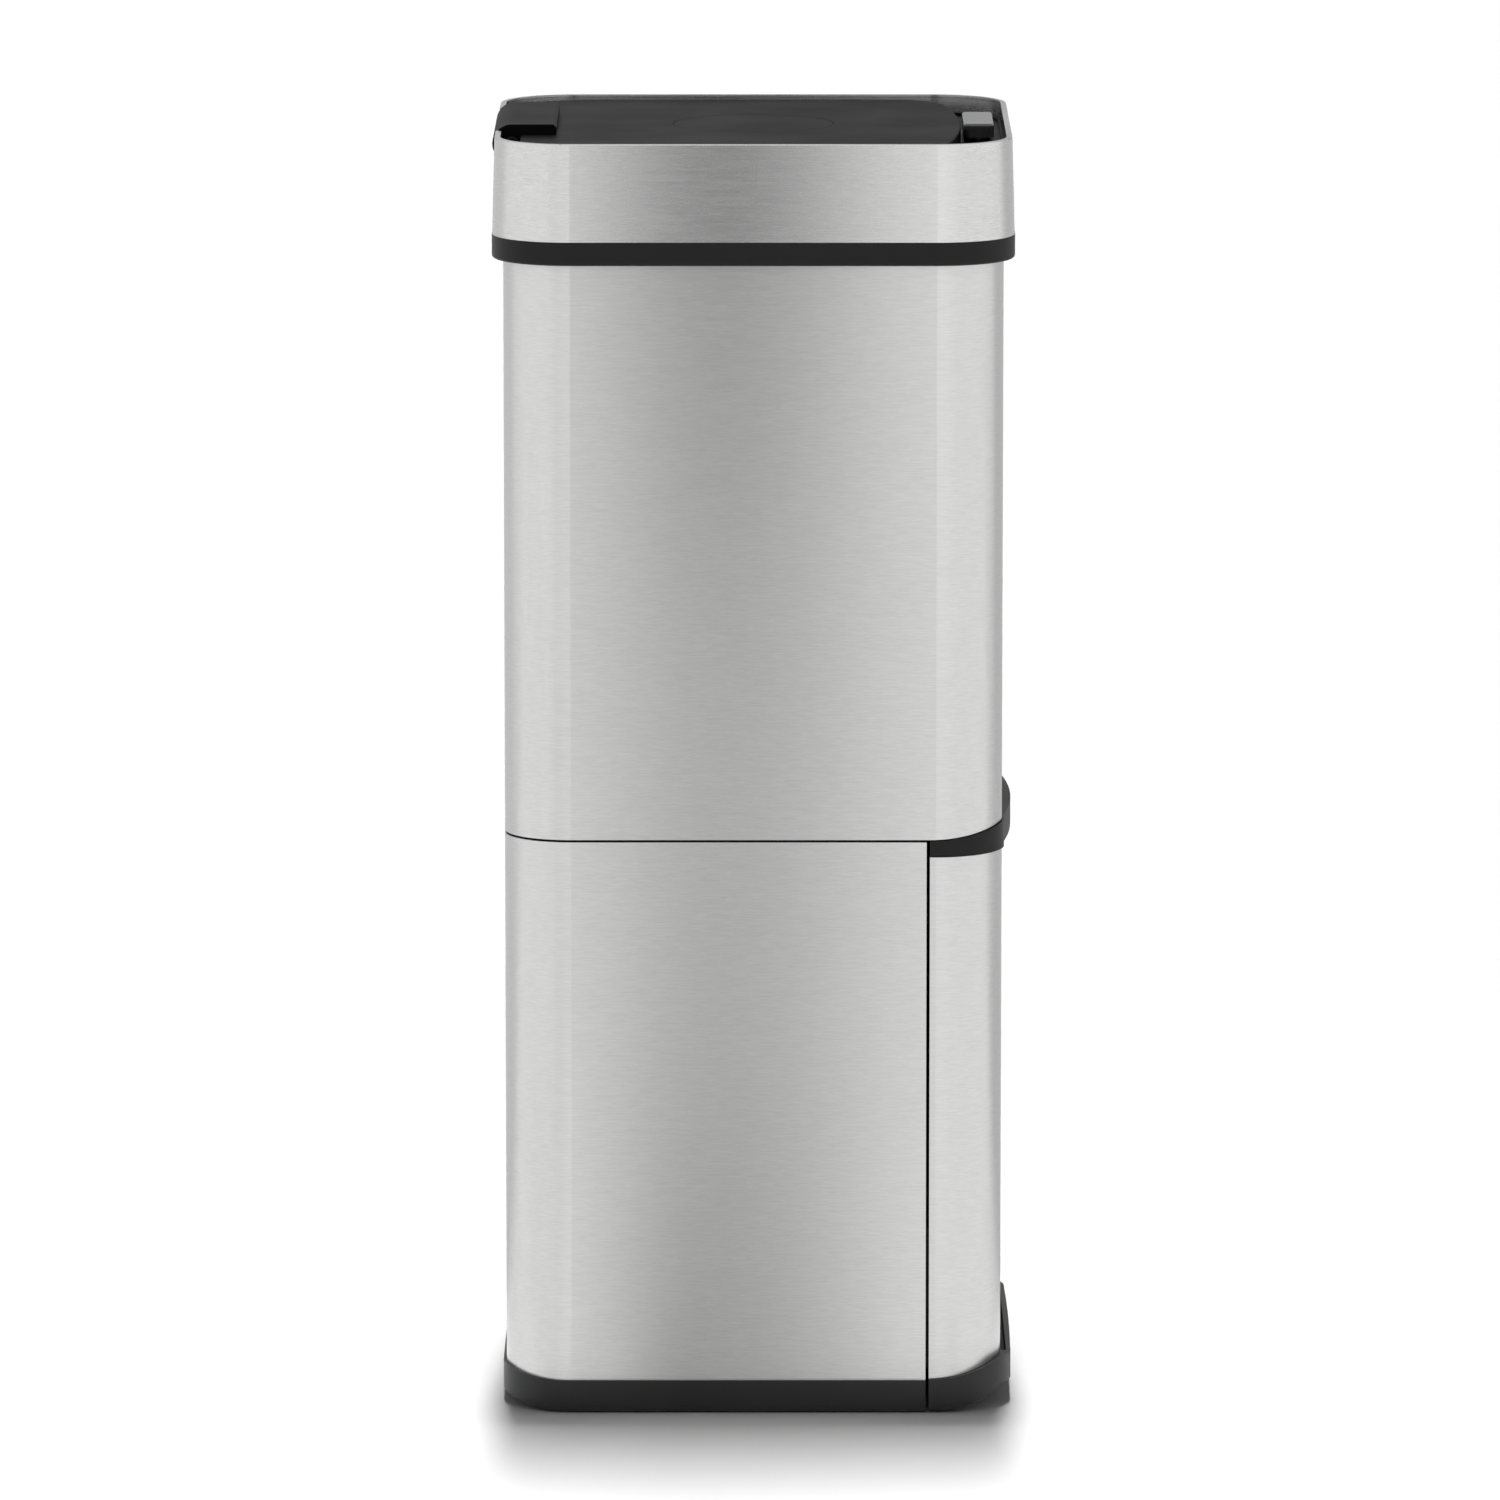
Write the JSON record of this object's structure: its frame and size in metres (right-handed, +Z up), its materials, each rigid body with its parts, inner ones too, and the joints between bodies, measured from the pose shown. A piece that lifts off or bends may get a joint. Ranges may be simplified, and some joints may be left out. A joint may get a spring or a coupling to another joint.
{
  "type": "trash compactor",
  "caption": "Free-standing two-tier kitchen bin with a steel collar, a hinged press lid over a waste bucket, and a pull-out drawer bucket below.",
  "frame": {"origin": "centre of the footprint, on the floor", "axes": "+X towards the front, where the drawer pulls out; +Z up; +Y across the bin"},
  "size_m": [0.35, 0.3152, 0.864],
  "materials": {
    "brushed_steel": "fine horizontal brushing",
    "zinc_steel": "bright zinc plate",
    "polished_steel": "polished",
    "screw_steel": "plated screws",
    "spring_steel": "drawn wire",
    "black_plastic": "fine-grained moulding",
    "inner_plastic": "plain moulding",
    "bucket_plastic": "satin moulding",
    "button_plastic": "gloss grey",
    "bush_plastic": "natural bearing plastic",
    "rubber": "soft moulded rubber"
  },
  "bodies": {
    "root": {"base_plinth": "black_plastic", "rubber_feet": "rubber", "lower_shell": "brushed_steel", "upper_shell": "brushed_steel", "divider_shelf": "inner_plastic", "shelf_screws": "screw_steel", "left_side_frame": "zinc_steel", "right_side_frame": "zinc_steel", "left_outer_rail": "zinc_steel", "right_outer_rail": "zinc_steel", "rail_screws": "screw_steel", "waste_bucket": "bucket_plastic", "bag_ring": "inner_plastic"},
    "middle_rails": {"left_middle_rail": "zinc_steel", "right_middle_rail": "zinc_steel", "left_slide_balls": "polished_steel", "right_slide_balls": "polished_steel"},
    "drawer": {"left_inner_rail": "zinc_steel", "right_inner_rail": "zinc_steel", "drawer_skin": "brushed_steel", "drawer_frame": "inner_plastic", "drawer_handle": "black_plastic", "drawer_plinth": "black_plastic", "drawer_tray": "inner_plastic", "drawer_screws": "screw_steel", "recycling_bucket": "bucket_plastic"},
    "head": {"rim_skirt": "black_plastic", "collar_ring": "brushed_steel", "inner_bezel": "black_plastic", "head_screws": "screw_steel", "lid_gasket": "rubber", "hinge_pin": "polished_steel", "latch_housing": "black_plastic", "button_springs": "spring_steel"},
    "button": {"latch_button": "button_plastic"},
    "bolt": {"latch_bolt": "zinc_steel"},
    "lid": {"lid_panel": "black_plastic", "lid_liner": "inner_plastic", "striker": "zinc_steel", "hinge_cover": "black_plastic", "lid_screws": "screw_steel", "guide_bush": "bush_plastic", "torsion_spring": "spring_steel"},
    "press": {"push_cap": "black_plastic", "press_rod": "polished_steel", "press_plate": "inner_plastic", "plate_screw": "screw_steel", "return_spring": "spring_steel"}
  },
  "joints": [
    {"name": "drawer_slide", "type": "slide", "parent": "root", "child": "drawer", "axis": [1, 0, 0], "range_m": [0, 0.23]},
    {"name": "middle_rail_slide", "type": "slide", "parent": "root", "child": "middle_rails", "axis": [1, 0, 0], "range_m": [0, 0.115]},
    {"name": "head_lift", "type": "slide", "parent": "root", "child": "head", "axis": [0, 0, 1], "range_m": [0, 0.12]},
    {"name": "lid_hinge", "type": "hinge", "parent": "head", "child": "lid", "pos_m": [-0.162, 0, 0.851], "axis": [0, -1, 0], "range_deg": [0, 80]},
    {"name": "press_slide", "type": "slide", "parent": "lid", "child": "press", "axis": [0, 0, -1], "range_m": [0, 0.07], "stiffness_N_per_m": 60, "springref_m": -0.15, "deforming": ["return_spring"]},
    {"name": "button_press", "type": "slide", "parent": "head", "child": "button", "axis": [0, 0, -1], "range_m": [0, 0.003], "stiffness_N_per_m": 200, "springref_m": -0.01, "deforming": ["button_springs"]},
    {"name": "latch_bolt_slide", "type": "slide", "parent": "head", "child": "bolt", "axis": [1, 0, 0], "range_m": [0, 0.003]}
  ],
  "couplings": [
    {"joint": "middle_rail_slide", "follows": "drawer_slide", "ratio": 0.5},
    {"joint": "latch_bolt_slide", "follows": "button_press", "ratio": 1}
  ]
}
